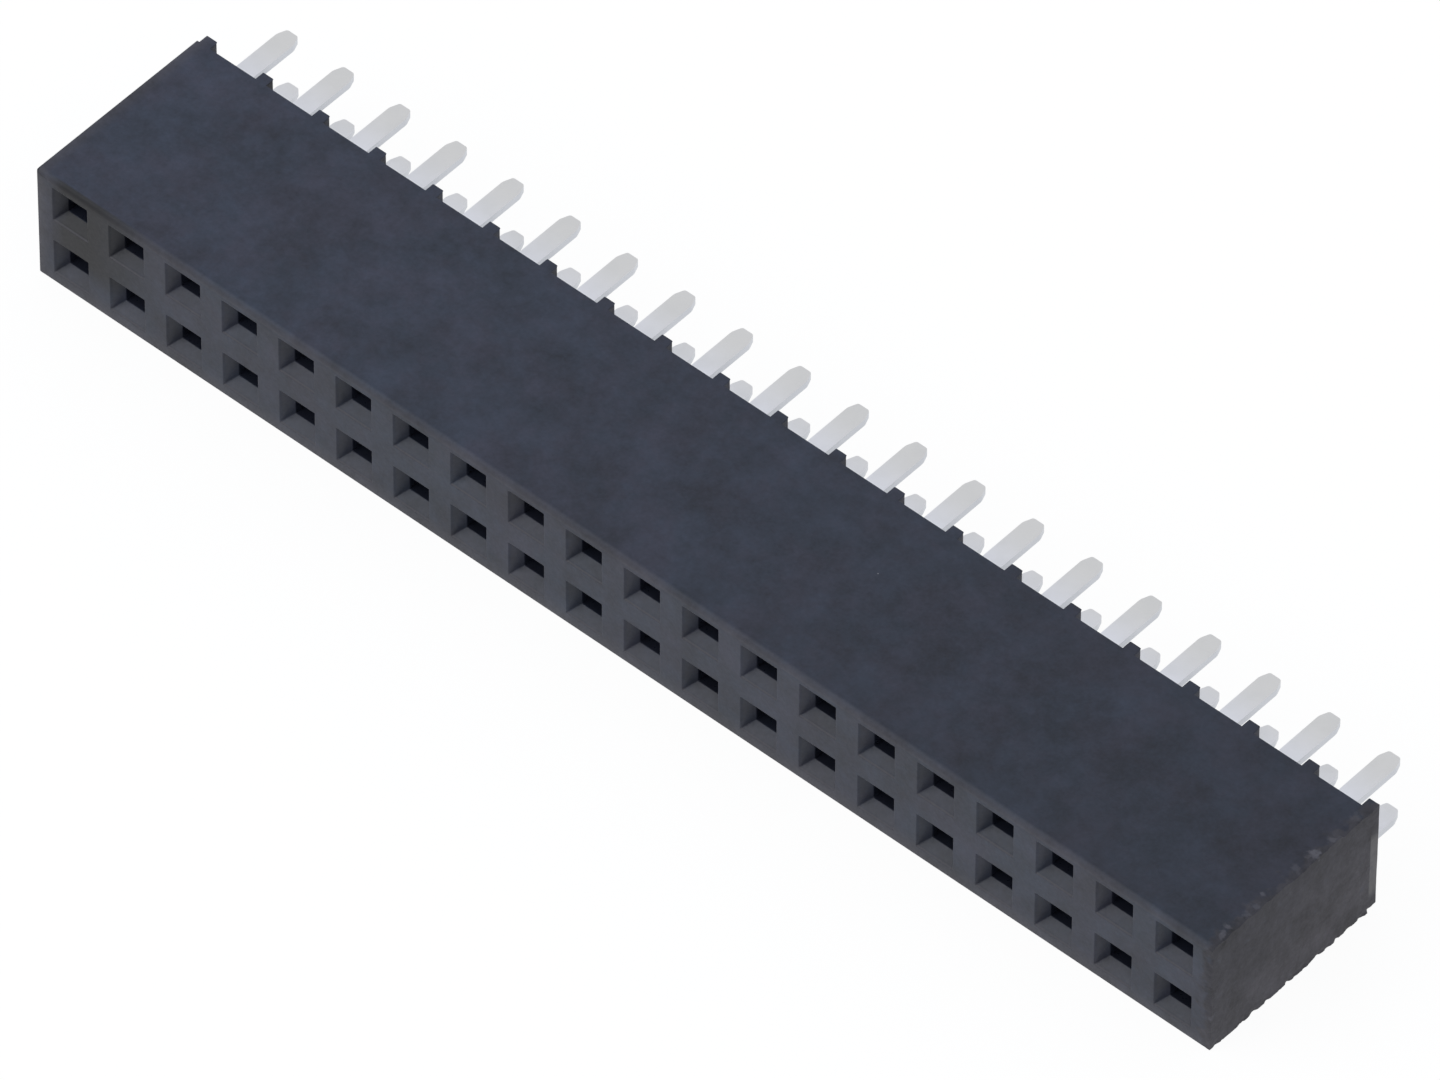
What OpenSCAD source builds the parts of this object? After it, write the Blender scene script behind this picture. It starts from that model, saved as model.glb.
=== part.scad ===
// Double-row female pin header: a moulded housing with a grid of sockets,
// one stamped and folded socket contact pressed into each from the solder side.
// The strip lies on a long side: X runs along the strip from its moulded end to
// its cut end, Y from the mating face to the solder tails, and Z is up.

/* [Grid] */
// Number of columns in each of the two rows
columns = 20; // [2:1:25]
// Distance between neighbouring columns
pitch = 2.54; // [2.4:0.01:3]
// Distance between the two rows
row_pitch = 2.54; // [2.3:0.01:2.8]

/* [Housing] */
// Width of the housing across both rows
body_w = 5; // [4.7:0.1:7]
// Depth of the housing from the mating face to the solder face
body_h = 7.85; // [7.6:0.05:11]
// Material past the first column's boundary at the moulded end
moulded_end = 0.2; // [0.1:0.05:1]
// Material past the last column's boundary at the end cut from a longer strip
cut_end = 0.35; // [0.1:0.05:1]
// Radius of the upper long edge of the mating face
top_edge_r = 0.26; // [0.05:0.01:0.4]
// Radius of the lower long edge of the mating face
low_edge_r = 0.04; // [0.02:0.01:0.4]
// Radius of the edge between the mating face and the moulded end
face_edge_r = 0.05; // [0.02:0.01:0.4]
// Radius of the edges between the moulded end and the two long sides
end_edge_r = 0.2; // [0.05:0.01:0.4]

/* [Standoff ribs] */
// Height of the ribs that keep the solder face off the board
rib_h = 0.4; // [0.2:0.05:1]
// Thickness of a rib along the strip
rib_t = 0.5; // [0.3:0.01:0.6]
// How far each rib stands off its column boundary, toward the cut end
rib_shift = 0.15; // [0:0.01:0.15]
// How far the ribs stop short of the lower long side
rib_inset = 0.2; // [0:0.05:1]

/* [Sockets] */
// Width of the square mouth of a socket on the mating face
mouth_w = 1.58; // [1.2:0.02:1.9]
// Depth of the tapered lead-in
lead_in = 0.44; // [0.2:0.02:0.7]
// Width of the square pin hole behind the lead-in
hole_w = 0.91; // [0.8:0.01:1.1]
// Thickness of the wall between the mating face and the contact's cavity
front_wall = 1; // [0.9:0.05:1.4]
// Width of a cavity along the strip
cell_w = 1.7; // [1.6:0.02:1.9]
// Height of a cavity across the rows
cell_h = 1.4; // [1.3:0.02:1.6]
// Height of the ledge that stops the contact
ledge_h = 0.25; // [0.15:0.01:0.3]
// Depth of the ledge below the solder face
seat_depth = 3.15; // [3.1:0.05:4]

/* [Contact] */
// Thickness of the strip that the contact is stamped from
stock_t = 0.3; // [0.2:0.01:0.34]
// Clearance between the contact's folded walls and its cavity
side_gap = 0.05; // [0.02:0.01:0.1]
// Length of the folded channel that holds the contact in its cavity
base_len = 1.8; // [1:0.05:1.85]
// Height of the channel's walls above its floor
wall_h = 0.95; // [0.6:0.05:1]
// Outside radius of the folds between the floor and the walls
fold_r = 0.32; // [0.1:0.01:0.4]
// Width of the floor where it leaves the channel
neck_w = 1.2; // [0.9:0.05:1.4]
// Length over which the floor narrows to the tail
neck_len = 0.3; // [0.1:0.05:0.35]
// Inside radius of the bends that bring the tail to the middle of the row
bend_r = 0.15; // [0.1:0.01:0.25]
// Angle of those bends
bend_angle = 45; // [40:1:60]

/* [Spring leaves] */
// Width of a leaf where it leaves the channel
leaf_w = 0.8; // [0.5:0.05:0.85]
// Width of a leaf at its tip
leaf_tip_w = 0.55; // [0.3:0.05:0.6]
// Length over which the tip narrows
leaf_tip_len = 0.5; // [0.2:0.05:0.8]
// Gap between the two leaves where they grip a pin
grip_gap = 0.44; // [0.3:0.02:0.56]
// Distance from the leaf tips to where they grip
grip_depth = 1.05; // [0.8:0.05:1.4]
// Gap between the flared tips
tip_gap = 0.84; // [0.7:0.02:0.96]
// Clearance between the leaf tips and the front wall
tip_clearance = 0.15; // [0.05:0.05:0.4]
// Radius of the curve at the grip, to the middle of the strip
grip_r = 0.8; // [0.5:0.1:1.2]

/* [Barbs] */
// Length of a retaining barb
barb_len = 0.45; // [0.2:0.05:0.6]
// Length of the part of a barb that bears on the cavity wall
barb_land = 0.15; // [0.05:0.05:0.2]
// Height of a barb across the rows
barb_h = 0.5; // [0.2:0.05:0.7]
// Distance between the two barbs on one wall
barb_step = 0.8; // [0.65:0.05:0.9]

/* [Solder tail] */
// Width of a tail
tail_w = 0.78; // [0.5:0.02:0.88]
// Length of a tail past the ends of the ribs
tail_out = 2.72; // [1:0.02:12]
// Width of a tail at its tip
tail_tip_w = 0.48; // [0.2:0.02:0.5]
// Length over which the tip narrows
tail_tip_len = 0.38; // [0.1:0.02:0.8]

/* [Hidden] */
$fn = 48;
// overshoot of a cut past the face that it opens
over = 0.5;
// about how long the facets of a round edge are
edge_step = 0.025;
// steps in the curve at a leaf's grip, and in a bend of the tail
leaf_steps = 3;
bend_steps = 6;

// along the strip
body_l = columns*pitch + moulded_end + cut_end;
end_x = -body_l/2;
grid_x = end_x + moulded_end;
function column_x(i) = grid_x + (i + 0.5)*pitch;

// across the rows, with 0 for the upper row and 1 for the lower one
function row_z(r) = body_w/2 + (0.5 - r)*row_pitch;

// from the mating face to the tail tips, centred on the whole part
total_h = body_h + rib_h + tail_out;
face_y = -total_h/2;

// inside one cavity, measured from the mating face and the middle of the socket
seat_y = body_h - seat_depth;
base_w = cell_w - 2*side_gap;
floor_z = cell_h/2 - stock_t;
floor_mid = floor_z + stock_t/2;
neck_y = seat_y + base_len;
joggle_y = neck_y + neck_len;
bend_mid = bend_r + stock_t/2;

function contact_name(r, i) = str("contact_", r == 0 ? "a" : "b", i < 9 ? "0" : "", i + 1);

// a line through the given points, moved sideways by d
function unit(v) = v/norm(v);
function left_of(v) = [-v.y, v.x];
function side_of(p, i) =
    i == 0 ? left_of(unit(p[1] - p[0])) :
    i == len(p) - 1 ? left_of(unit(p[i] - p[i - 1])) :
    let (a = left_of(unit(p[i] - p[i - 1])), b = left_of(unit(p[i + 1] - p[i])), m = unit(a + b))
    m/(m*a);
function beside(p, d) = [for (i = [0:len(p) - 1]) p[i] + d*side_of(p, i)];
function backwards(p) = [for (i = [len(p) - 1:-1:0]) p[i]];
function strip_outline(p, t) = concat(beside(p, t/2), backwards(beside(p, -t/2)));

// the corner at b, on the way from a to c, rounded to radius r in so many steps
function rounded(a, b, c, r, steps) =
    let (u = unit(a - b), w = unit(c - b), half = acos(u*w)/2,
         o = b + unit(u + w)*r/sin(half),
         s = b + u*r/tan(half) - o, e = b + w*r/tan(half) - o,
         start = atan2(s.y, s.x), turn = atan2(s.x*e.y - s.y*e.x, s*e))
    [for (i = [0:steps]) o + r*[cos(start + turn*i/steps), sin(start + turn*i/steps)]];

// 2D shapes drawn in (y, z) or (x, z) and then stood up along the third axis
module along_x(length) {
    rotate([90, 0, 90]) linear_extrude(length, center = true) children();
}

module along_y(length) {
    translate([0, length, 0]) rotate([90, 0, 0]) linear_extrude(length) children();
}

// what a round edge of radius r takes away from a corner at the origin
module corner_cut(r) {
    difference() {
        translate([-over, -over]) square(r + over);
        translate([r, r]) circle(r, $fn = 4*ceil(r/edge_step));
    }
}

module rounded_end(length, width) {
    difference() {
        square([length, width]);
        corner_cut(end_edge_r);
        translate([0, width]) mirror([0, 1]) corner_cut(end_edge_r);
    }
}

// the block: long edges of the mating face and the edges of the moulded end are round
module block() {
    intersection() {
        translate([0, face_y, 0]) along_x(body_l) difference() {
            square([body_h, body_w]);
            corner_cut(low_edge_r);
            translate([0, body_w]) mirror([0, 1]) corner_cut(top_edge_r);
        }
        translate([end_x, face_y - over, 0]) along_y(body_h + 2*over) rounded_end(body_l + over, body_w);
        translate([end_x, face_y, -over]) linear_extrude(body_w + 2*over) difference() {
            square([body_l + over, body_h + over]);
            corner_cut(face_edge_r);
        }
    }
}

// the ribs stand on the solder face at every column boundary, and the cut takes the last one too
module ribs() {
    for (i = [0:columns]) {
        x0 = grid_x + i*pitch + rib_shift - rib_t/2;
        x1 = min(x0 + rib_t, -end_x);
        translate([max(x0, end_x), face_y + body_h - over, rib_inset])
            cube([x1 - max(x0, end_x), rib_h + over, body_w - rib_inset]);
    }
}

// a square funnel: two wedges, one for each pair of its slopes
module lead_in_cut() {
    slope = (mouth_w - hole_w)/2/lead_in;
    outer = mouth_w/2 + slope*over;
    wedge = [[-over, outer], [lead_in, hole_w/2], [lead_in, -hole_w/2], [-over, -outer]];
    intersection() {
        along_x(2*outer) polygon(wedge);
        linear_extrude(2*outer, center = true) polygon([for (p = wedge) [p.y, p.x]]);
    }
}

// the cavity behind the socket is open at the solder face, and its ledge stops the contact's floor
module cell_cut() {
    roof = cell_h/2;
    lead_in_cut();
    translate([-hole_w/2, 0, -hole_w/2]) cube([hole_w, front_wall + over, hole_w]);
    along_x(cell_w) polygon([
        [front_wall, -roof], [body_h + over, -roof], [body_h + over, roof],
        [seat_y, roof], [seat_y, roof - ledge_h], [front_wall, roof - ledge_h]
    ]);
}

// the lower row is the upper row turned over
module in_cell(r, i) {
    translate([column_x(i), face_y, row_z(r)]) mirror([0, 0, r]) children();
}

module housing() {
    color([0.14, 0.14, 0.15]) difference() {
        union() {
            block();
            ribs();
        }
        for (r = [0, 1]) for (i = [0:columns - 1]) in_cell(r, i) cell_cut();
    }
}

// the folded channel: its floor lies on the cavity's outer wall, against the ledge
module channel() {
    translate([0, seat_y, 0]) along_y(base_len) difference() {
        translate([-base_w/2, floor_z - wall_h]) square([base_w, wall_h + stock_t]);
        translate([stock_t - base_w/2, floor_z - wall_h - over]) square([base_w - 2*stock_t, wall_h + over]);
        for (side = [0, 1]) mirror([side, 0]) translate([-base_w/2, cell_h/2]) mirror([0, 1]) corner_cut(fold_r);
    }
}

// barbs ramp up toward the solder side and bear on the cavity's side walls
module barbs() {
    x = base_w/2;
    for (side = [0, 1]) mirror([side, 0, 0]) for (k = [0, 1])
        translate([0, seat_y + base_len/2 + (k - 0.5)*barb_step, 0])
            linear_extrude(barb_h, center = true) polygon([
                [x - stock_t/2, -barb_len/2], [x, -barb_len/2], [x + side_gap, barb_len/2 - barb_land],
                [x + side_gap, barb_len/2], [x - stock_t/2, barb_len/2]
            ]);
}

// a spring leaf: straight out of the channel's wall, in to the grip and out again to the tip
module leaf() {
    root_x = (base_w - stock_t)/2;
    tip_y = front_wall + tip_clearance;
    root = [root_x, seat_y + base_len/4];
    knee = [root_x, seat_y - stock_t];
    grip = [(grip_gap + stock_t)/2, tip_y + grip_depth];
    tip = [(tip_gap + stock_t)/2, tip_y];
    path = concat([root], rounded(root, knee, grip, grip_r, leaf_steps),
                  rounded(knee, grip, tip, grip_r, leaf_steps), [tip]);
    intersection() {
        linear_extrude(leaf_w, center = true) polygon(strip_outline(path, stock_t));
        along_x(cell_w) polygon([
            [tip_y - stock_t, -leaf_tip_w/2], [tip_y + leaf_tip_len, -leaf_w/2], [neck_y, -leaf_w/2],
            [neck_y, leaf_w/2], [tip_y + leaf_tip_len, leaf_w/2], [tip_y - stock_t, leaf_tip_w/2]
        ]);
    }
}

// the floor narrows as it leaves the channel, bends to the middle of the row and becomes the tail
module ribbon() {
    start = neck_y - stock_t;
    turn = bend_mid*tan(bend_angle/2);
    down = [joggle_y + turn, floor_mid];
    level = [down.x + floor_mid/tan(bend_angle), 0];
    tip = [total_h, 0];
    path = concat([[start, floor_mid]], rounded([start, floor_mid], down, level, bend_mid, bend_steps),
                  rounded(down, level, tip, bend_mid, bend_steps), [tip]);
    intersection() {
        along_x(base_w) polygon(strip_outline(path, stock_t));
        linear_extrude(2*cell_h, center = true) polygon([
            [-neck_w/2, start], [neck_w/2, start], [neck_w/2, neck_y], [tail_w/2, joggle_y],
            [tail_w/2, tip.x - tail_tip_len], [tail_tip_w/2, tip.x], [-tail_tip_w/2, tip.x],
            [-tail_w/2, tip.x - tail_tip_len], [-tail_w/2, joggle_y], [-neck_w/2, neck_y]
        ]);
    }
}

module contact() {
    color([0.78, 0.78, 0.8]) {
        channel();
        barbs();
        for (side = [0, 1]) mirror([side, 0, 0]) leaf();
        ribbon();
    }
}

housing();
for (r = [0, 1]) for (i = [0:columns - 1])
    in_cell(r, i) contact();
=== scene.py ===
import math

import bmesh
import bpy
from mathutils import Matrix, Quaternion, Vector


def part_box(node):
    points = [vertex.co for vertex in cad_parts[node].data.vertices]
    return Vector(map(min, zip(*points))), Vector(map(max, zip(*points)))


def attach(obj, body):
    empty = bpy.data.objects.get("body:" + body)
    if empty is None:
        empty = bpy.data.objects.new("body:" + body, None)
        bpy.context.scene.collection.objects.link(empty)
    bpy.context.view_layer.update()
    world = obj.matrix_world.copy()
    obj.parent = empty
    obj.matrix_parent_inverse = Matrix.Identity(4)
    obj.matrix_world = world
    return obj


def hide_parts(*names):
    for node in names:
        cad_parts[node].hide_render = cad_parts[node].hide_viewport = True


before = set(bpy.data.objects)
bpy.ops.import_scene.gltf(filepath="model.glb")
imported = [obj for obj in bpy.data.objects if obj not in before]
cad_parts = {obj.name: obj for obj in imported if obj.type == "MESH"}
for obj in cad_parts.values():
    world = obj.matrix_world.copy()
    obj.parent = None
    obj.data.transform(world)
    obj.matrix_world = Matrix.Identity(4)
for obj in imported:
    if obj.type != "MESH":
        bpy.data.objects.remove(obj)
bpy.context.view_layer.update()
print("frame loaded,", len(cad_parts), "nodes")

# pieces are modelled in millimetres at their place in the frame, and brought to metres at the end
mm = 0.001
tiny = 0.002  # points closer than this are one


def boxInMillimetres(node):
    low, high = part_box(node)
    return low / mm, high / mm


# selecting and shaping in edit mode


def choose(piece):
    bpy.ops.object.select_all(action="DESELECT")
    piece.select_set(True)
    bpy.context.view_layer.objects.active = piece


def startEditing(piece):
    choose(piece)
    bpy.ops.object.mode_set(mode="EDIT")


def stopEditing():
    bpy.ops.object.mode_set(mode="OBJECT")


def inSpan(value, span):
    return span is None or span[0] - tiny <= value <= span[1] + tiny


# selects what lies wholly within the spans, and nothing else
def pick(kind, x=None, y=None, z=None, openOnly=False):
    bpy.ops.mesh.select_mode(type={"verts": "VERT", "edges": "EDGE", "faces": "FACE"}[kind])
    bpy.ops.mesh.select_all(action="DESELECT")
    mesh = bmesh.from_edit_mesh(bpy.context.edit_object.data)
    for item in getattr(mesh, kind):
        points = [item.co] if kind == "verts" else [v.co for v in item.verts]
        fits = all(inSpan(p.x, x) and inSpan(p.y, y) and inSpan(p.z, z) for p in points)
        if fits and openOnly:
            fits = len(item.link_faces) == 1
        if fits:
            item.select_set(True)
    bmesh.update_edit_mesh(bpy.context.edit_object.data)


# scores the faces that lie within the spans along planes across one axis
def score(axis, places, **spans):
    pick("faces", **spans)
    bpy.ops.mesh.hide(unselected=True)
    direction = Vector((axis == "x", axis == "y", axis == "z"))
    for place in places:
        bpy.ops.mesh.select_all(action="SELECT")
        bpy.ops.mesh.bisect(plane_co=direction * place, plane_no=direction, threshold=tiny / 4)
    bpy.ops.mesh.reveal(select=False)


# places between two ends, so far apart
def steps(start, end, distance):
    count = round((end - start) / distance)
    return [start + (end - start) * n / count for n in range(1, count)]


def push(x=0, y=0, z=0):
    bpy.ops.mesh.extrude_region_move(TRANSFORM_OT_translate={"value": (x, y, z)})


def mergeAll():
    bpy.ops.mesh.select_all(action="SELECT")
    bpy.ops.mesh.remove_doubles(threshold=tiny)


# marks edges for the Bevel modifier, with the radius that each of them gets
def soften(radius, largest, **spans):
    pick("edges", **spans)
    weighSelected(radius / largest)


def softenSharp(radius, largest, angle=32):
    bpy.ops.mesh.select_all(action="DESELECT")
    bpy.ops.mesh.edges_select_sharp(sharpness=math.radians(angle))
    weighSelected(radius / largest)


# the operator adds to a weight, so it goes to nothing first
def weighSelected(weight):
    bpy.ops.transform.edge_bevelweight(value=-1)
    bpy.ops.transform.edge_bevelweight(value=weight)


def reachOf(piece):
    points = [v.co for v in piece.data.vertices]
    return [[round(end(p[axis] for p in points), 3) for axis in range(3)] for end in (min, max)]


def openEdges(piece):
    mesh = bmesh.new()
    mesh.from_mesh(piece.data)
    count = sum(1 for e in mesh.edges if len(e.link_faces) != 2)
    mesh.free()
    return count


def applyModifier(piece, kind, **settings):
    choose(piece)
    made = piece.modifiers.new(kind.lower(), kind)
    for name, value in settings.items():
        setattr(made, name, value)
    bpy.ops.object.modifier_apply(modifier=made.name)


def newBlock(name, low, high):
    bpy.ops.object.select_all(action="DESELECT")
    bpy.ops.mesh.primitive_cube_add(size=1, location=(Vector(low) + Vector(high)) / 2)
    piece = bpy.context.active_object
    piece.name = name
    piece.scale = Vector(high) - Vector(low)
    bpy.ops.object.transform_apply()
    return piece


def smoothShading(piece, angle=50):
    choose(piece)
    bpy.ops.object.shade_smooth_by_angle(angle=math.radians(angle))
    applyModifier(piece, "WEIGHTED_NORMAL", keep_sharp=True)


# the moulded housing

housing = {
    "columns": 20,
    "pitch": 2.54,
    "rows": (3.77, 1.23),  # middles of the upper and the lower row
    "depth": 7.85,  # mating face to solder face
    "endMargin": 0.2,  # moulded end to the first column's boundary
    "mouth": 1.58,
    "leadIn": 0.44,
    "pinHole": 0.91,
    "frontWall": 1.0,
    "cavityWidth": 1.7,
    "cavityHeight": 1.4,
    "ledgeDepth": 4.7,
    "ribWidth": 0.5,
    "ribPlace": 0.1,  # slice start to the rib
    "ribInset": 0.2,
    "topEdge": 0.26,
    "lowEdge": 0.03,
    "faceEdge": 0.03,  # between the mating face and the moulded end
    "endEdge": 0.05,
    "ribEdges": (0.05, 0.12),  # toward the moulded and the cut end
    "mouthEdge": 0.02,
    "softEdge": 0.025,
    "tornBand": 0.3,  # how far the cut's damage reaches along the strip
    "tornStep": 0.075,
    # direction, strength, middle level, size, contrast of each tear
    "tears": {
        "cutFace": ("X", -0.03, 0.0, 0.9, 1.0),
        "lowerTeeth": ("X", -0.16, 0.40, 0.36, 3.0),
        "upperTear": ("Z", -0.14, 0.25, 0.45, 2.2),
        "frontTear": ("Y", 0.10, 0.25, 0.40, 2.0),
    },
    "tearReach": {"lowerTeeth": 0.25, "upperTear": 0.3, "frontTear": 0.25},  # in from the torn edge
    "teethByMatingFace": 0.35,  # share of the teeth's depth that is left there
}


# one pitch of the strip, with the two sockets of a column
def makeSlice(plan, low, high):
    front, back = low.y, low.y + plan["depth"]
    start, end = low.x, low.x + plan["pitch"]
    middle = start + plan["endMargin"] + plan["pitch"] / 2
    halfMouth, halfHole, halfCavity = plan["mouth"] / 2, plan["pinHole"] / 2, plan["cavityWidth"] / 2

    piece = newBlock("mouldedHousing", (start, front, low.z), (end, back, high.z))
    startEditing(piece)
    score("x", [middle - halfMouth, middle + halfMouth], y=(front, front))
    score("z", [z + side * halfMouth for z in plan["rows"] for side in (-1, 1)], y=(front, front))
    for z in plan["rows"]:
        mouth = (middle - halfMouth, middle + halfMouth)
        pick("faces", x=mouth, y=(front, front), z=(z - halfMouth, z + halfMouth))
        push(y=plan["leadIn"])
        taper = plan["pinHole"] / plan["mouth"]
        bpy.ops.transform.resize(value=(taper, 1, taper), center_override=(middle, front, z))
        push(y=plan["frontWall"] - plan["leadIn"])
        bpy.ops.mesh.delete(type="FACE")

    halfHeight = plan["cavityHeight"] / 2
    cavities = [(z - halfHeight, z + halfHeight) for z in plan["rows"]]
    score("x", [middle - halfCavity, middle + halfCavity], y=(back, back))
    score("z", [z for pair in cavities for z in pair], y=(back, back))
    across = (middle - halfCavity, middle + halfCavity)
    hole = (middle - halfHole, middle + halfHole)
    ledge = front + plan["ledgeDepth"]
    innerWall = front + plan["frontWall"]
    for z, pair, outward in zip(plan["rows"], cavities, (1, -1)):
        inside = sorted((z - outward * halfHeight, z + outward * halfHole))
        pick("faces", x=across, y=(back, back), z=pair)
        push(y=ledge - back)
        score("z", [z + outward * halfHole], x=across, y=(ledge, ledge), z=pair)
        pick("faces", x=across, y=(ledge, ledge), z=inside)
        push(y=innerWall - ledge)
        score("x", hole, x=across, y=(innerWall, innerWall), z=inside)
        score("z", [z - outward * halfHole], x=hole, y=(innerWall, innerWall), z=inside)
        pick("faces", x=hole, y=(innerWall, innerWall), z=(z - halfHole, z + halfHole))
        bpy.ops.mesh.delete(type="FACE")
    for x in (start, end):
        pick("faces", x=(x, x))
        bpy.ops.mesh.delete(type="ONLY_FACE")
    mergeAll()
    stopEditing()
    return piece


# plain at the moulded end, and in narrow bands at the cut one
def closeEnds(piece, plan, low, high):
    lastSlice = low.x + plan["columns"] * plan["pitch"]
    startEditing(piece)
    pick("edges", x=(low.x, low.x), openOnly=True)
    bpy.ops.mesh.edge_face_add()
    band = high.x - plan["tornBand"]
    places = [lastSlice + plan["ribPlace"], band] + steps(band, high.x, plan["tornStep"]) + [high.x]
    reached = lastSlice
    pick("edges", x=(lastSlice, lastSlice), openOnly=True)
    for place in places:
        push(x=place - reached)
        reached = place
    pick("edges", x=(high.x, high.x), openOnly=True)
    bpy.ops.mesh.edge_face_add()
    mergeAll()
    bpy.ops.mesh.normals_make_consistent(inside=False)
    stopEditing()


def roundBlock(piece, plan, low, high):
    front, back, largest = low.y, low.y + plan["depth"], plan["topEdge"]
    startEditing(piece)
    soften(plan["topEdge"], largest, y=(front, front), z=(high.z, high.z))
    soften(plan["lowEdge"], largest, y=(front, front), z=(low.z, low.z))
    soften(plan["faceEdge"], largest, x=(low.x, low.x), y=(front, front))
    for z in (low.z, high.z):
        soften(plan["endEdge"], largest, x=(low.x, low.x), z=(z, z))
    soften(plan["softEdge"], largest, x=(low.x, low.x), y=(back, back))
    stopEditing()
    applyModifier(piece, "BEVEL", width=largest, segments=4, limit_method="WEIGHT", use_clamp_overlap=False)


def raiseRibs(piece, plan, low, high):
    back = low.y + plan["depth"]
    starts = [low.x + plan["ribPlace"] + n * plan["pitch"] for n in range(plan["columns"] + 1)]
    ends = [x + plan["ribWidth"] for x in starts[:-1]]
    startEditing(piece)
    score("x", starts[:-1] + ends, y=(back, back))
    score("z", [low.z + plan["ribInset"]], y=(back, back))
    for start, end in zip(starts, ends + [high.x]):
        pick("faces", x=(start, end), y=(back, back), z=(low.z + plan["ribInset"], high.z))
        push(y=high.y - back)
    mergeAll()
    stopEditing()
    return starts, ends


def softenEdges(piece, plan, low, high, ribs):
    front, back, largest = low.y, low.y + plan["depth"], max(plan["ribEdges"])
    startEditing(piece)
    soften(0, largest)
    softenSharp(plan["softEdge"], largest)
    soften(0, largest, x=(high.x, high.x))
    soften(0, largest, y=(back, back))
    soften(0, largest, x=(low.x, low.x + plan["softEdge"]))
    for places, radius in zip(ribs, plan["ribEdges"]):
        for x in places:
            soften(radius, largest, x=(x, x), y=(high.y, high.y))
    half = plan["mouth"] / 2
    firstColumn = low.x + plan["endMargin"] + plan["pitch"] / 2
    for number in range(plan["columns"]):
        x = firstColumn + number * plan["pitch"]
        for z in plan["rows"]:
            wide, tall = (x - half, x + half), (z - half, z + half)
            for edge in wide:
                soften(plan["mouthEdge"], largest, x=(edge, edge), y=(front, front), z=tall)
            for edge in tall:
                soften(plan["mouthEdge"], largest, x=wide, y=(front, front), z=(edge, edge))
    stopEditing()
    applyModifier(piece, "BEVEL", width=largest, segments=3, limit_method="WEIGHT", use_clamp_overlap=False)


# from 1 at an edge to 0 so far from it
def fade(distance, reach):
    return max(0.0, 1 - distance / reach)


# how much of the cut's damage each point takes, by the tear's name
def tearShares(point, plan, low, high):
    near = fade(high.x - point.x, plan["tornBand"])
    onCut = float(point.x > high.x - tiny)
    fewer, reach = plan["teethByMatingFace"], plan["tearReach"]
    teeth = fewer + (1 - fewer) * (point.y - low.y) / (high.y - low.y)
    return {
        "cutFace": onCut,
        "lowerTeeth": onCut * fade(point.z - low.z, reach["lowerTeeth"]) * teeth,
        "upperTear": near * fade(high.z - point.z, reach["upperTear"]),
        "frontTear": near * fade(point.y - low.y, reach["frontTear"]),
    }


def tearCutEnd(piece, plan, low, high):
    zone = (high.x - plan["tornBand"], high.x)
    startEditing(piece)
    score("y", steps(low.y, high.y, plan["tornStep"]), x=zone)
    score("z", steps(low.z, high.z, plan["tornStep"]), x=zone)
    stopEditing()
    groups = {name: piece.vertex_groups.new(name=name) for name in plan["tears"]}
    for vertex in piece.data.vertices:
        if vertex.co.x > zone[0]:
            for name, share in tearShares(vertex.co, plan, low, high).items():
                if share > 0:
                    groups[name].add([vertex.index], share, "REPLACE")
    for name, (direction, strength, level, size, contrast) in plan["tears"].items():
        texture = bpy.data.textures.new(name, "CLOUDS")
        texture.noise_scale, texture.noise_depth, texture.contrast = size, 2, contrast
        applyModifier(piece, "DISPLACE", texture=texture, vertex_group=name, direction=direction,
                      strength=strength, mid_level=level, texture_coords="LOCAL")
    for vertex in piece.data.vertices:
        vertex.co = [min(max(c, a), b) for c, a, b in zip(vertex.co, low, high)]
    piece.vertex_groups.clear()


def makeHousing(plan):
    low, high = boxInMillimetres("housing")
    piece = makeSlice(plan, low, high)
    applyModifier(piece, "ARRAY", count=plan["columns"], use_relative_offset=False, use_constant_offset=True,
                  constant_offset_displace=(plan["pitch"], 0, 0), use_merge_vertices=True, merge_threshold=tiny)
    closeEnds(piece, plan, low, high)
    roundBlock(piece, plan, low, high)
    print("block rounded, box", reachOf(piece))
    ribs = raiseRibs(piece, plan, low, high)
    softenEdges(piece, plan, low, high, ribs)
    print("housing shaped, open edges", openEdges(piece), "box", reachOf(piece))
    tearCutEnd(piece, plan, low, high)
    smoothShading(piece)
    piece.data.transform(Matrix.Scale(mm, 4))
    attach(piece, "root")
    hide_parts("housing")
    print("housing done,", len(piece.data.polygons), "faces")
    return piece


# the socket contacts, stamped from strip and folded

contact = {
    "stock": 0.3,
    "wallMiddle": 0.65,  # middle of the folded walls, from the middle of the socket
    "floorMiddle": 0.55,
    "foldRadius": 0.17,
    "seat": (4.7, 6.5),  # where the channel starts and ends behind the mating face
    "leafHalfWidth": 0.4,
    "leafPath": ((0.65, 4.4), (0.37, 2.2), (0.475, 1.65), (0.57, 1.15)),  # knee, grip, narrowing, tip
    "tipShare": 0.7,  # how much of a leaf's width is left at its tip
    "kneeRounding": 0.05,
    "gripRounding": 0.13,
    "neck": 6.8,
    "bendsAt": (6.924, 7.474),
    "bendReach": 0.12,
    "tailHalfWidth": 0.39,
    "tipHalfWidth": 0.24,
    "tailTaper": 0.38,
    "tailTip": 10.97,
    "tipRounding": 0.07,
    "barbPlaces": (5.2, 6.0),
    "barbLength": 0.45,
    "barbLand": 0.15,
    "barbHalfHeight": 0.25,
    "barbReach": 0.05,
    "edge": 0.045,
    "sharpFrom": 35,  # degrees
}


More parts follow.
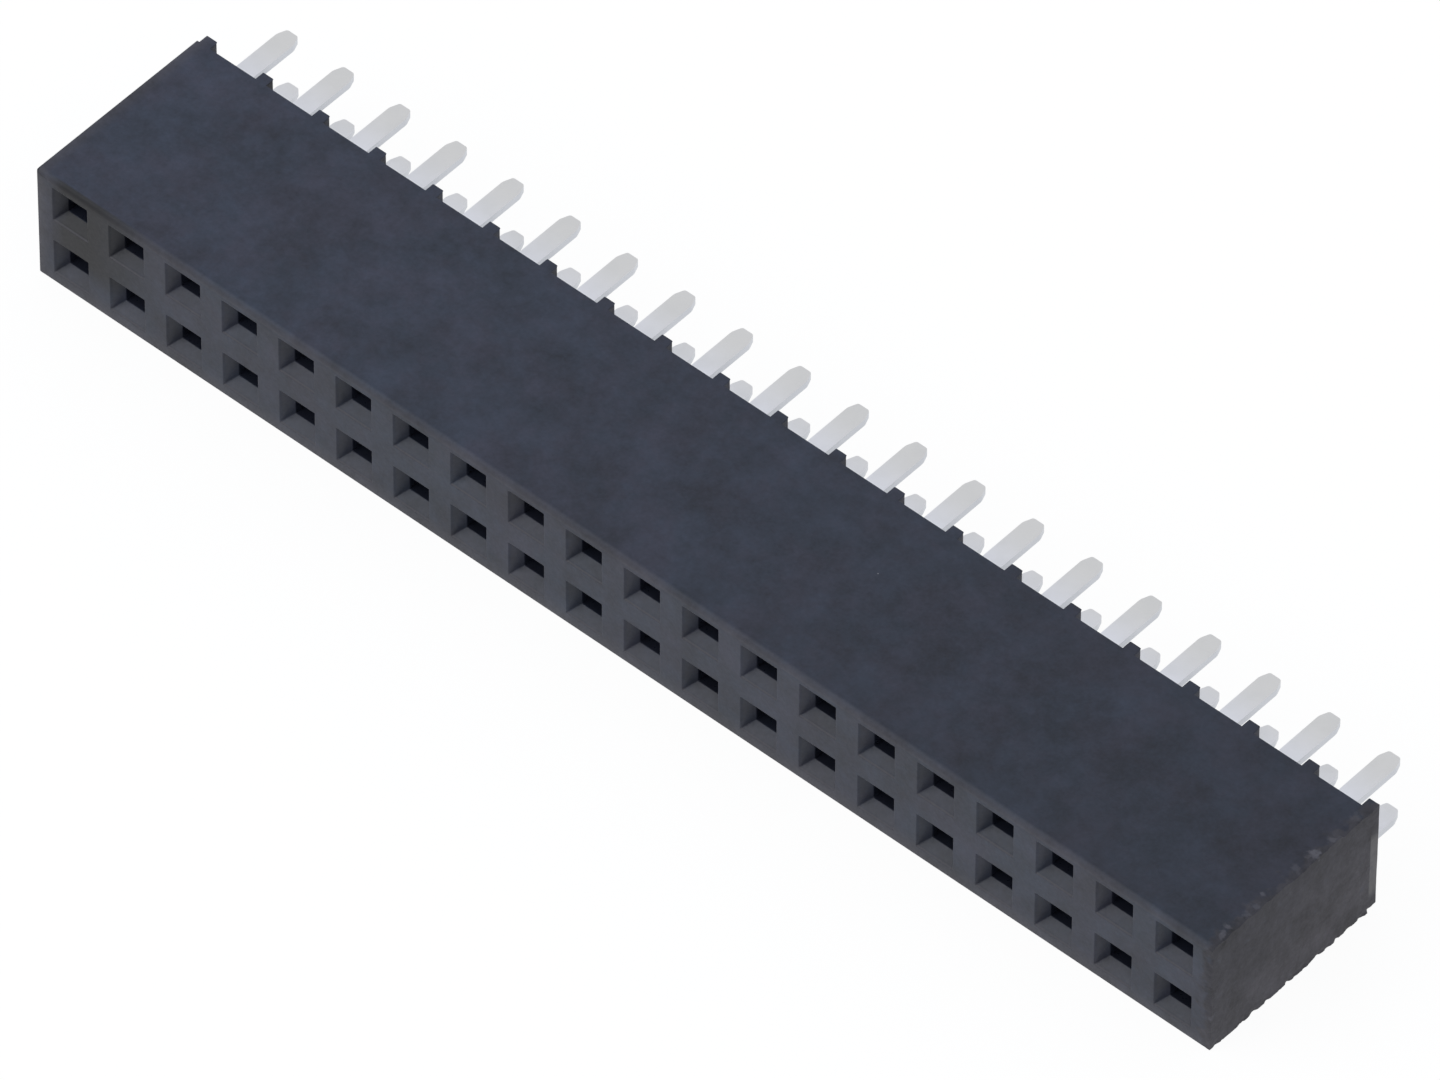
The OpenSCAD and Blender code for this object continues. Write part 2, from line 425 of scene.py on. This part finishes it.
# half of the strip's middle surface, mirrored, thickened and barbed; the socket's middle is at the origin
def makeContact(plan):
    wall, floor, seat = plan["wallMiddle"], plan["floorMiddle"], plan["seat"]
    bpy.ops.object.select_all(action="DESELECT")
    bpy.ops.mesh.primitive_plane_add(size=1, location=(wall / 2, sum(seat) / 2, floor))
    piece = bpy.context.active_object
    piece.name = "contactBlank"
    piece.scale = (wall, seat[1] - seat[0], 1)
    bpy.ops.object.transform_apply()
    startEditing(piece)

    pick("edges", x=(wall, wall))
    push(z=-2 * floor)
    pick("edges", x=(wall, wall), z=(floor, floor))
    bpy.ops.mesh.bevel(offset=plan["foldRadius"], segments=3, affect="EDGES")
    half = plan["leafHalfWidth"]
    score("z", [-half, half], x=(wall, wall))
    pick("edges", x=(wall, wall), y=(seat[0], seat[0]), z=(-half, half))
    x, y = wall, seat[0]
    for nextX, nextY in plan["leafPath"]:
        push(x=nextX - x, y=nextY - y)
        x, y = nextX, nextY
    bpy.ops.transform.resize(value=(1, 1, plan["tipShare"]), center_override=(x, y, 0))
    knee, grip = plan["leafPath"][:2]
    pick("edges", x=(knee[0], knee[0]), y=(knee[1], knee[1]))
    bpy.ops.mesh.bevel(offset=plan["kneeRounding"], segments=2, affect="EDGES")
    pick("edges", x=(grip[0], grip[0]), y=(grip[1], grip[1]))
    bpy.ops.mesh.bevel(offset=plan["gripRounding"], segments=3, affect="EDGES")

    neckHalf = wall - plan["foldRadius"]
    pick("edges", x=(0, neckHalf), y=(seat[1], seat[1]), z=(floor, floor))
    push(y=plan["neck"] - seat[1])
    narrowing = plan["tailHalfWidth"] / neckHalf
    bpy.ops.transform.resize(value=(narrowing, 1, 1), center_override=(0, plan["neck"], floor))
    push(y=plan["bendsAt"][0] - plan["neck"])
    push(y=plan["bendsAt"][1] - plan["bendsAt"][0], z=-floor)
    taperStart = plan["tailTip"] - plan["tailTaper"]
    push(y=taperStart - plan["bendsAt"][1])
    push(y=plan["tailTaper"])
    narrowing = plan["tipHalfWidth"] / plan["tailHalfWidth"]
    bpy.ops.transform.resize(value=(narrowing, 1, 1), center_override=(0, 0, 0))
    for bendY, bendZ in zip(plan["bendsAt"], (floor, 0)):
        pick("edges", y=(bendY, bendY), z=(bendZ, bendZ))
        bpy.ops.mesh.bevel(offset=plan["bendReach"], segments=4, affect="EDGES")
    tailCorners = ((plan["tailHalfWidth"], taperStart), (plan["tipHalfWidth"], plan["tailTip"]))
    for cornerX, cornerY in tailCorners:
        pick("verts", x=(cornerX, cornerX), y=(cornerY, cornerY))
        bpy.ops.mesh.bevel(offset=plan["tipRounding"], segments=3, affect="VERTICES")
    stopEditing()

    applyModifier(piece, "MIRROR", use_clip=True, merge_threshold=tiny)
    startEditing(piece)
    mergeAll()
    bpy.ops.mesh.normals_make_consistent(inside=False)
    stopEditing()
    applyModifier(piece, "SOLIDIFY", thickness=plan["stock"], offset=0, use_even_offset=True)

    outer = wall + plan["stock"] / 2
    barbHalf = plan["barbLength"] / 2
    startEditing(piece)
    for side in (-1, 1):
        face = (side * outer, side * outer)
        for place in plan["barbPlaces"]:
            low, high = place - barbHalf, place + barbHalf
            score("y", [low, high - plan["barbLand"], high], x=face, y=seat)
            score("z", [-plan["barbHalfHeight"], plan["barbHalfHeight"]], x=face, y=(low, high))
            pick("faces", x=face, y=(low, high), z=(-plan["barbHalfHeight"], plan["barbHalfHeight"]))
            push(x=side * plan["barbReach"])
            raised = sorted(side * (outer + share * plan["barbReach"]) for share in (0.5, 1))
            pick("verts", x=raised, y=(low, low))
            bpy.ops.transform.translate(value=(-side * plan["barbReach"], 0, 0))
            mergeAll()
    bpy.ops.mesh.select_all(action="SELECT")
    bpy.ops.mesh.normals_make_consistent(inside=False)
    stopEditing()
    print("contact closed, open edges", openEdges(piece))
    applyModifier(piece, "BEVEL", width=plan["edge"], segments=2, limit_method="ANGLE",
                  angle_limit=math.radians(plan["sharpFrom"]))
    smoothShading(piece)
    return piece


def placeContacts(blank):
    mating = boxInMillimetres("housing")[0].y
    placed = []
    for row, height, angle in zip("ab", housing["rows"], (0, math.pi)):
        turn = Matrix.Rotation(angle, 4, "Y")
        for number in range(1, housing["columns"] + 1):
            node = f"contact_{row}{number:02d}"
            low, high = boxInMillimetres(node)
            middle = Vector(((low.x + high.x) / 2, mating, height))
            piece = blank.copy()
            piece.data = blank.data.copy()
            piece.name = f"socketContact_{row}{number:02d}"
            bpy.context.collection.objects.link(piece)
            piece.data.transform(Matrix.Scale(mm, 4) @ Matrix.Translation(middle) @ turn)
            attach(piece, "root")
            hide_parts(node)
            placed.append(piece)
    bpy.data.objects.remove(blank)
    print("contacts placed,", len(placed))
    return placed


housingPiece = makeHousing(housing)
contactPieces = placeContacts(makeContact(contact))


# finishes, as arithmetic on shader sockets


# a socket's value: numbers and other wires can be added to it, and so on
class Wire:
    def __init__(self, finish, socket):
        self.finish, self.socket = finish, socket

    def maths(self, operation, *values):
        return self.finish.node("ShaderNodeMath", {"operation": operation}, dict(enumerate(values)))

    def __add__(self, other):
        return self.maths("ADD", self, other)

    def __sub__(self, other):
        return self.maths("SUBTRACT", self, other)

    def __rsub__(self, other):
        return self.maths("SUBTRACT", other, self)

    def __mul__(self, other):
        return self.maths("MULTIPLY", self, other)

    def __lt__(self, other):
        return self.maths("LESS_THAN", self, other)

    def __abs__(self):
        return self.maths("ABSOLUTE", self)

    __radd__ = __add__
    __rmul__ = __mul__

    def larger(self, other):
        return self.maths("MAXIMUM", self, other)

    # 0 up to the first number, 1 from the second one on
    def rise(self, start, end):
        return self.finish.node("ShaderNodeMapRange", {"interpolation_type": "SMOOTHSTEP"},
                                {"Value": self, "From Min": start, "From Max": end})

    # 1 between a rise and a fall, each given by its two ends
    def band(self, rising, falling):
        return self.rise(*rising) * (1 - self.rise(*falling))


class Finish:
    def __init__(self, name):
        self.material = bpy.data.materials.new(name)
        self.material.use_nodes = True
        self.tree = self.material.node_tree
        self.tree.nodes.clear()
        self.place = self.node("ShaderNodeTexCoord", out="Object")

    # makes a node: its settings first, then its sockets, by name or by number among those in use
    def node(self, kind, settings=None, sockets=None, out=None):
        made = self.tree.nodes.new(kind)
        for name, value in (settings or {}).items():
            setattr(made, name, value)
        inputs = [s for s in made.inputs if s.enabled]
        for key, value in (sockets or {}).items():
            socket = inputs[key] if isinstance(key, int) else next(s for s in inputs if s.name == key)
            if isinstance(value, Wire):
                self.tree.links.new(value.socket, socket)
            else:
                socket.default_value = value
        outputs = [s for s in made.outputs if s.enabled]
        return Wire(self, next((s for s in outputs if s.name == out), outputs[0]) if outputs else None)

    def axes(self, vector):
        made = self.tree.nodes.new("ShaderNodeSeparateXYZ")
        self.tree.links.new(vector.socket, made.inputs[0])
        return [Wire(self, s) for s in made.outputs]

    # x, y and z in the frame, in millimetres
    def millimetres(self):
        return [axis * (1 / mm) for axis in self.axes(self.place)]

    # how far a face is turned towards x, y and z
    def facing(self):
        return self.axes(self.node("ShaderNodeTexCoord", out="Normal"))

    def distanceFrom(self, *point):
        settings, sockets = {"operation": "DISTANCE"}, {0: self.place, 1: tuple(c * mm for c in point)}
        return self.node("ShaderNodeVectorMath", settings, sockets, out="Value") * (1 / mm)

    # noise with blotches of the given size in millimetres; stretch makes them longer along x, y or z
    def noise(self, size, detail=2.0, roughness=0.5, stretch=(1, 1, 1), shift=0.0):
        scaled = self.node("ShaderNodeMapping", {}, {"Vector": self.place, "Location": (shift, shift, shift),
                                                     "Scale": tuple(1 / (size * mm * s) for s in stretch)})
        sockets = {"Vector": scaled, "Scale": 1.0, "Detail": detail, "Roughness": roughness}
        return self.node("ShaderNodeTexNoise", {}, sockets, out="Factor")

    # small round spots: the cells' size, how much of a cell a spot fills, and how many cells have one
    def spots(self, size, fill, share):
        settings, sockets = {"feature": "F1"}, {"Vector": self.place, "Scale": 1 / (size * mm)}
        distance = self.node("ShaderNodeTexVoronoi", settings, sockets, out="Distance")
        cell = self.axes(self.node("ShaderNodeTexVoronoi", settings, sockets, out="Color"))
        return (1 - distance.rise(fill * 0.4, fill)) * (cell[0] < share)

    def mix(self, share, first, second, blend="MIX"):
        first, second = [(*c, 1) if isinstance(c, tuple) and len(c) == 3 else c for c in (first, second)]
        settings = {"data_type": "RGBA", "blend_type": blend}
        return self.node("ShaderNodeMix", settings, {"Factor": share, "A": first, "B": second})

    def bump(self, height, depth, strength=1.0, under=None):
        sockets = {"Strength": strength, "Distance": depth * mm, "Height": height}
        if under:
            sockets["Normal"] = under
        return self.node("ShaderNodeBump", {}, sockets)

    def close(self, sockets):
        surface = self.node("ShaderNodeBsdfPrincipled", {}, sockets, out="BSDF")
        self.node("ShaderNodeOutputMaterial", {}, {"Surface": surface})
        print("finish made,", self.material.name)
        return self.material


mouldedBlack = {
    "cool": (0.0226, 0.0298, 0.0480),
    "violet": (0.0262, 0.0286, 0.0455),
    "litTowardsMouldedEnd": (1.2, 1.2, 1.2),  # painted light on the upper side: lighter towards the moulded end, darker towards the cut end
    "shadedTowardsCutEnd": (0.8, 0.8, 0.8),
    "cut": (0.0360, 0.0355, 0.0440),
    # painted light: the floor's light on the cut's lower part, and the pale painted light on the lower edge,
    # the rounded top edge and the socket lips
    "paintedLightTone": (0.0610, 0.0585, 0.0680),
    "rib": (0.0470, 0.0450, 0.0520),
    # pale painted glints on the torn edge, and pale dust
    "paleGlintsAndDust": (0.10, 0.10, 0.12),
    "dust": (0.16, 0.165, 0.18),
    # painted shade for the funnels and pin holes
    "paintedShade": (0.009, 0.010, 0.016),
    "dulled": (0.002, 0.002, 0.003),
    # sizes of the blotches, in millimetres, and how strong the mottling is, on the cut too
    "patch": 3.0,
    "patchEdges": (0.35, 0.65),
    "mottle": 2.6,
    "wander": 0.45,
    "ragged": 0.16,
    "grain": 0.12,
    "mottling": 2.2,
    "mottlingOnCut": 0.7,
    "dustSpots": (3.3, 0.012, 0.22),
    # places in millimetres where a tone sets in, and where it goes again
    "topLightFalloff": (-32, 32),
    "lowerEdge": (-0.1, 0.9),
    "mouldedEnd": (-25.7, -25.1),
    # painted sheen on the rounded top edge of the mating face
    "topEdgeSheen": ((4.66, 4.78), (4.86, 4.96)),
    "dullAlong": ((-25.3, -24.4), (-23.6, -19.5)),
    "dullAbove": (0.8, 2.0),
    "cutDepth": (-0.45, -0.15),
    "cutWander": 1.4,
    "floorLightOnCut": (0.2, 5.6),
    "floorLightSlope": 0.3,
    "ribFaceDepth": (-0.005, 0.055),
    "ribFaceHeight": ((0.5, 1.0), (3.4, 4.0)),
    "socketRows": ((0.2, 0.3), (4.68, 4.72)),
    "socketColumns": (25.1, 25.2),
    "lipSheen": ((0.001, 0.006), (0.04, 0.07)),
    "funnel": ((0.05, 0.10), (0.40, 0.50)),
    "hole": ((0.40, 0.50), (2.0, 3.0)),
    # the same, by how far a face is turned upwards
    "upperSide": (0.6, 0.95),
    "tooLevelToDull": (0.85, 0.98),
    "lipTurn": (0.05, 0.3),
    "levelSlope": (0.3, 0.7),
    # how far each place takes the paler or the darker tone
    "paleEdges": 0.6,
    "paleTop": 0.45,
    "paleLips": 0.7,
    "dullEnd": 0.9,
    "funnelShade": 0.1,
    "holeShade": 0.65,
    # x, y, z and radius in millimetres, and how much paler, or darker below 0; the pale ones on the cut are
    # painted glints where the torn edge catches the light
    "cutGlintsAndMarks": (
        (25.47, -0.27, 5.0, 0.26, 0.6), (25.44, -0.12, 5.0, 0.20, 0.5), (25.46, 0.60, 5.0, 0.20, 0.4),
        (25.41, -1.10, 5.0, 0.22, 0.3), (25.44, 1.87, 5.0, 0.24, 0.2), (25.50, -4.86, 5.0, 0.18, 0.45),
        (25.44, -4.68, 5.0, 0.18, 0.5), (25.37, -4.50, 5.0, 0.16, 0.5), (25.46, -3.17, 5.0, 0.20, 0.4),
        (25.32, -2.67, 5.0, 0.12, 0.5), (25.52, -3.64, 5.0, 0.20, 0.3), (25.57, -3.82, 5.0, 0.10, -0.7),
        (25.66, -4.97, 4.71, 0.20, -0.6), (25.62, -5.40, 1.60, 0.20, 0.4), (25.60, -5.485, 2.8, 0.34, -0.45),
    ),
    "dustSpecks": (
        (-12.40, -5.50, 4.90, 0.05, 0.8), (15.77, -5.46, 3.21, 0.05, 0.7),
        (11.78, -5.46, 3.17, 0.04, 0.7), (15.84, -5.48, 1.54, 0.05, 0.6),
    ),
    "fleckRaggedness": 2.5,
    "fleckCore": 0.2,  # part of the radius that is full
    "specular": 0.36,
    "roughness": 0.42,
    "rougherGrain": 0.16,
    "rougherCut": 0.2,
    "smootherRib": 0.15,
    "smootherFunnel": 0.1,
    "smootherHole": 0.2,
    "grainBump": (0.012, 0.35),
    "cutBump": (0.04, 0.3),
}


# the moulded sides: painted light falling off along the upper side, dust, a painted reflection of the floor
# along the lower edge, paler near the moulded end, a painted sheen on the rounded top edge, and darker on
# upright faces near the moulded end
def mouldedTone(finish, plan, x, z, facingUp):
    patches = finish.noise(plan["patch"], detail=5.0, roughness=0.8)
    moulded = finish.mix(patches.rise(*plan["patchEdges"]), plan["cool"], plan["violet"])
    paintedFalloff = finish.mix(x.rise(*plan["topLightFalloff"]), plan["litTowardsMouldedEnd"], plan["shadedTowardsCutEnd"])
    # painted light on the upper side, lighter by the moulded end and darker by the cut end
    toned = finish.mix(facingUp.rise(*plan["upperSide"]), moulded, paintedFalloff, blend="MULTIPLY")
    dusty = finish.mix(finish.spots(*plan["dustSpots"]), toned, plan["dust"])
    # painted reflection of the floor along the lower edge, and paler near the moulded end
    edges = (1 - z.rise(*plan["lowerEdge"])).larger(1 - x.rise(*plan["mouldedEnd"]))
    # painted sheen along the rounded top edge of the mating face
    topEdgeSheen = z.band(*plan["topEdgeSheen"]) * plan["paleTop"]
    paintedEdgeLight = finish.mix((edges * plan["paleEdges"]).larger(topEdgeSheen), dusty, plan["paintedLightTone"])
    upright = 1 - facingUp.rise(*plan["tooLevelToDull"])
    dull = x.band(*plan["dullAlong"]) * z.rise(*plan["dullAbove"]) * upright
    return finish.mix(dull * plan["dullEnd"], paintedEdgeLight, plan["dulled"])


# pale painted glints where the torn edge catches the light, dust specks, and dark marks on the cut
def addGlintsAndSpecks(finish, plan, surface):
    ragged = finish.noise(plan["ragged"], detail=3.0, shift=5.0) - 0.5
    for *place, radius, share in plan["cutGlintsAndMarks"] + plan["dustSpecks"]:
        distance = finish.distanceFrom(*place) + ragged * plan["fleckRaggedness"] * radius
        fleck = 1 - distance.rise(radius * plan["fleckCore"], radius)
        surface = finish.mix(fleck * abs(share), surface, plan["paleGlintsAndDust" if share > 0 else "dulled"])
    return surface


def makeMouldedBlack(plan):
    low, high = boxInMillimetres("housing")
    finish = Finish("mouldedBlack")
    x, y, z = finish.millimetres()
    facingUp = finish.facing()[2]
    wander = finish.noise(plan["wander"], detail=3.0, shift=7.0) - 0.5

    # the cut end and the torn edge round it, apart from the last rib's own moulded face
    onCut = (x - high.x + wander * plan["cutWander"]).rise(*plan["cutDepth"])
    beyond = y - low.y - housing["depth"]
    ribFace = beyond.rise(*plan["ribFaceDepth"]) * z.band(*plan["ribFaceHeight"])
    cut, cutRib = onCut * (1 - ribFace), onCut * ribFace
    # the cut's lower part is paler: painted light from the floor
    floorLitPart = 1 - (z - y * plan["floorLightSlope"]).rise(*plan["floorLightOnCut"])
    cutTone = finish.mix(floorLitPart, plan["cut"], plan["paintedLightTone"])
    sides = finish.mix(cutRib, mouldedTone(finish, plan, x, z, facingUp), plan["rib"])
    surface = finish.mix(cut, sides, cutTone)
    mottle = finish.noise(plan["mottle"], detail=5.0, roughness=0.85, shift=11.0) - 0.5
    clouds = mottle * (cut * plan["mottlingOnCut"] + plan["mottling"]) + 1
    surface = finish.mix(1.0, surface, clouds, blend="MULTIPLY")
    surface = addGlintsAndSpecks(finish, plan, surface)

    # the sockets: a painted highlight on the lower lips, and painted shade inside the funnels and holes
    sockets = z.band(*plan["socketRows"]) * (1 - abs(x).rise(*plan["socketColumns"]))
    behind = y - low.y
    # painted highlight on the upward-facing lip of each mouth
    lipSheen = sockets * behind.band(*plan["lipSheen"]) * facingUp.rise(*plan["lipTurn"])
    surface = finish.mix(lipSheen * plan["paleLips"], surface, plan["paintedLightTone"])
    # painted shade inside the funnels and pin holes, deepest in the holes
    hole, funnel = sockets * behind.band(*plan["hole"]), sockets * behind.band(*plan["funnel"])
    steep = 2 - facingUp.rise(*plan["levelSlope"])  # painted shade is twice as deep on a steep slope
    shadeShare = funnel * steep * plan["funnelShade"] + hole * plan["holeShade"]
    surface = finish.mix(shadeShare, surface, plan["paintedShade"])

    fine = finish.noise(plan["grain"], detail=3.0)
    rougher = fine * plan["rougherGrain"] + cut * plan["rougherCut"]
    smoother = cutRib * plan["smootherRib"] + funnel * plan["smootherFunnel"] + hole * plan["smootherHole"]
    grain = finish.bump(fine, *plan["grainBump"])
    return finish.close({
        "Base Color": surface,
        "Roughness": rougher - smoother + plan["roughness"],
        "Specular IOR Level": plan["specular"],
        "Normal": finish.bump(wander * cut, *plan["cutBump"], under=grain),
    })


tinPlate = {
    "bright": (0.82, 0.80, 0.765),
    "lilac": (0.91, 0.91, 0.96),
    "dull": (0.68, 0.68, 0.66),
    "sheared": (0.58, 0.60, 0.64),
    "lilacFades": (2.2, 5.0),  # millimetres along y, and how much further on the lower row
    "lowerRowFurther": 1.3,
    "betweenRows": (2.0, 3.0),
    "clouds": 1.1,
    "cloudEdges": (0.35, 0.75),
    "dullness": 0.25,
    "shearedTurn": (0.75, 0.92),  # how far a sheared side is turned towards x
    "drawing": 0.07,
    "drawnOut": (1, 14, 1),
    "drawnBump": (0.006, 0.4),
    "roughness": 0.34,
    "roughClouds": 0.2,
    "roughDrawing": 0.12,
}


def makeTinPlate(plan):
    finish = Finish("tinPlate")
    y, z = finish.millimetres()[1:]
    clouding = finish.noise(plan["clouds"], detail=3.0)
    drawn = finish.noise(plan["drawing"], detail=3.0, stretch=plan["drawnOut"], shift=2.0)
    lowerRow = 1 - z.rise(*plan["betweenRows"])
    nearHousing = 1 - (y - lowerRow * plan["lowerRowFurther"]).rise(*plan["lilacFades"])
    plate = finish.mix(nearHousing, plan["bright"], plan["lilac"])
    clouded = finish.mix(clouding.rise(*plan["cloudEdges"]) * plan["dullness"], plate, plan["dull"])
    shearedSide = abs(finish.facing()[0]).rise(*plan["shearedTurn"])
    uneven = (clouding - 0.5) * plan["roughClouds"] + (drawn - 0.5) * plan["roughDrawing"]
    return finish.close({
        "Base Color": finish.mix(shearedSide, clouded, plan["sheared"]),
        "Metallic": 1.0,
        "Roughness": uneven + plan["roughness"],
        "Normal": finish.bump(drawn, *plan["drawnBump"]),
    })


def coat(pieces, material):
    for piece in pieces:
        piece.data.materials.clear()
        piece.data.materials.append(material)


coat([housingPiece], makeMouldedBlack(mouldedBlack))
coat(contactPieces, makeTinPlate(tinPlate))


# floor, light and camera

photoView = {
    "aim": (0.728, -1.112, 2.5),  # millimetres, the point in the middle of the picture
    "azimuth": 41.28,
    "elevation": 47.97,
    "roll": 0.358,
    "distance": 643.4,
    "lens": 491.1,
    "sensor": 36.0,
}

studio = {
    "floorSize": 6,  # metres, as the lamp's sizes
    "floorBounce": (0.80, 0.79, 0.77),
    "floorSeen": 0.07,  # the part of the seen floor that takes shadow
    "floorGlow": 0.94,
    "zenith": (0.80, 0.84, 0.92),
    "horizon": (0.90, 0.90, 0.90),
    "strength": 0.86,
    "lampTowards": (-0.44, -0.60, 0.68),
    "lampDistance": 0.6,
    "lampSize": 0.42,
    "lampPower": 1.0,
}


def makeCamera(plan):
    azimuth, elevation = math.radians(plan["azimuth"]), math.radians(plan["elevation"])
    level = math.cos(elevation)
    back = Vector((math.sin(azimuth) * level, -math.cos(azimuth) * level, math.sin(elevation)))
    bpy.ops.object.camera_add(location=(Vector(plan["aim"]) + back * plan["distance"]) * mm)
    camera = bpy.context.active_object
    camera.name = "photoCamera"
    camera.rotation_mode = "QUATERNION"
    roll = Quaternion((0, 0, 1), math.radians(plan["roll"]))
    camera.rotation_quaternion = back.to_track_quat("Z", "Y") @ roll
    camera.data.lens = plan["lens"]
    camera.data.sensor_width = plan["sensor"]
    bpy.context.scene.camera = camera


def makeLamp(plan):
    aim = Vector(photoView["aim"]) * mm
    towards = Vector(plan["lampTowards"]).normalized()
    bpy.ops.object.light_add(type="AREA", location=aim + towards * plan["lampDistance"])
    lamp = bpy.context.active_object
    lamp.name = "softLamp"
    lamp.rotation_mode = "QUATERNION"
    lamp.rotation_quaternion = (lamp.location - aim).to_track_quat("Z", "Y")
    lamp.data.size = plan["lampSize"]
    lamp.data.energy = plan["lampPower"]


def makeFloor(plan):
    bpy.ops.mesh.primitive_plane_add(size=plan["floorSize"])
    floor = bpy.context.active_object
    floor.name = "studioFloor"
    finish = Finish("paleFloor")
    camera = finish.node("ShaderNodeLightPath", out="Is Camera Ray")
    glossy = finish.node("ShaderNodeLightPath", out="Is Glossy Ray")
    through = finish.node("ShaderNodeLightPath", out="Is Transmission Ray")
    seen = camera.larger(glossy).larger(through)
    shade = finish.mix(seen, plan["floorBounce"], (plan["floorSeen"],) * 3)
    paper = finish.node("ShaderNodeBsdfDiffuse", {}, {"Color": shade})
    glow = finish.node("ShaderNodeEmission", {}, {"Strength": seen * plan["floorGlow"]})
    both = finish.node("ShaderNodeAddShader", {}, {0: paper, 1: glow})
    finish.node("ShaderNodeOutputMaterial", {}, {"Surface": both})
    coat([floor], finish.material)


def makeWorld(plan):
    world = bpy.data.worlds.new("softRoom")
    bpy.context.scene.world = world
    world.use_nodes = True
    tree = world.node_tree
    direction = tree.nodes.new("ShaderNodeTexCoord").outputs["Generated"]
    height = tree.nodes.new("ShaderNodeSeparateXYZ")
    tree.links.new(direction, height.inputs[0])
    blend = tree.nodes.new("ShaderNodeMix")
    blend.data_type = "RGBA"
    sockets = {s.name: s for s in blend.inputs if s.enabled}
    tree.links.new(height.outputs["Z"], sockets["Factor"])
    sockets["A"].default_value = (*plan["horizon"], 1)
    sockets["B"].default_value = (*plan["zenith"], 1)
    background = tree.nodes["Background"]
    background.inputs["Strength"].default_value = plan["strength"]
    tree.links.new(next(s for s in blend.outputs if s.enabled), background.inputs["Color"])


makeCamera(photoView)
makeFloor(studio)
makeWorld(studio)
makeLamp(studio)
bpy.context.scene.view_settings.view_transform = "Standard"
print("studio ready")
